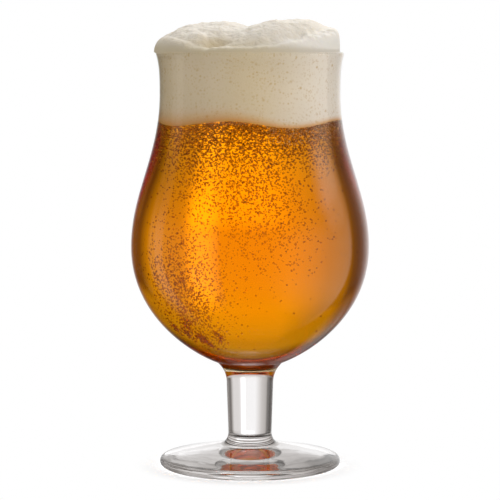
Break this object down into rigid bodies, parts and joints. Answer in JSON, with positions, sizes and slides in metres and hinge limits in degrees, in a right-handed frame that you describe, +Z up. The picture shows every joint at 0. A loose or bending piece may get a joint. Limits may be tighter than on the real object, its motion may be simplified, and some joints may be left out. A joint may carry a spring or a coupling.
{
  "type": "tulip beer glass",
  "caption": "Stemmed tulip beer glass with a round belly, a drawn-in waist and a flared lip, filled with amber beer under a domed head of foam.",
  "frame": {"origin": "on the table, under the middle of the foot, at the height of the foot's resting ring", "axes": "+Z up along the axis of the stem; +X to the right and +Y to the back as the picture shows the foam, since the glass itself is round"},
  "size_m": [0.086, 0.086, 0.162],
  "materials": {
    "clear_glass": "clear soda-lime glass, fire-polished",
    "amber_beer": "clear amber liquid with rising bubbles",
    "beer_foam": "matt fine-bubbled foam"
  },
  "bodies": {
    "root": {"bowl": "clear_glass", "stem": "clear_glass", "foot": "clear_glass", "beer": "amber_beer", "foam_head": "beer_foam"}
  },
  "joints": []
}
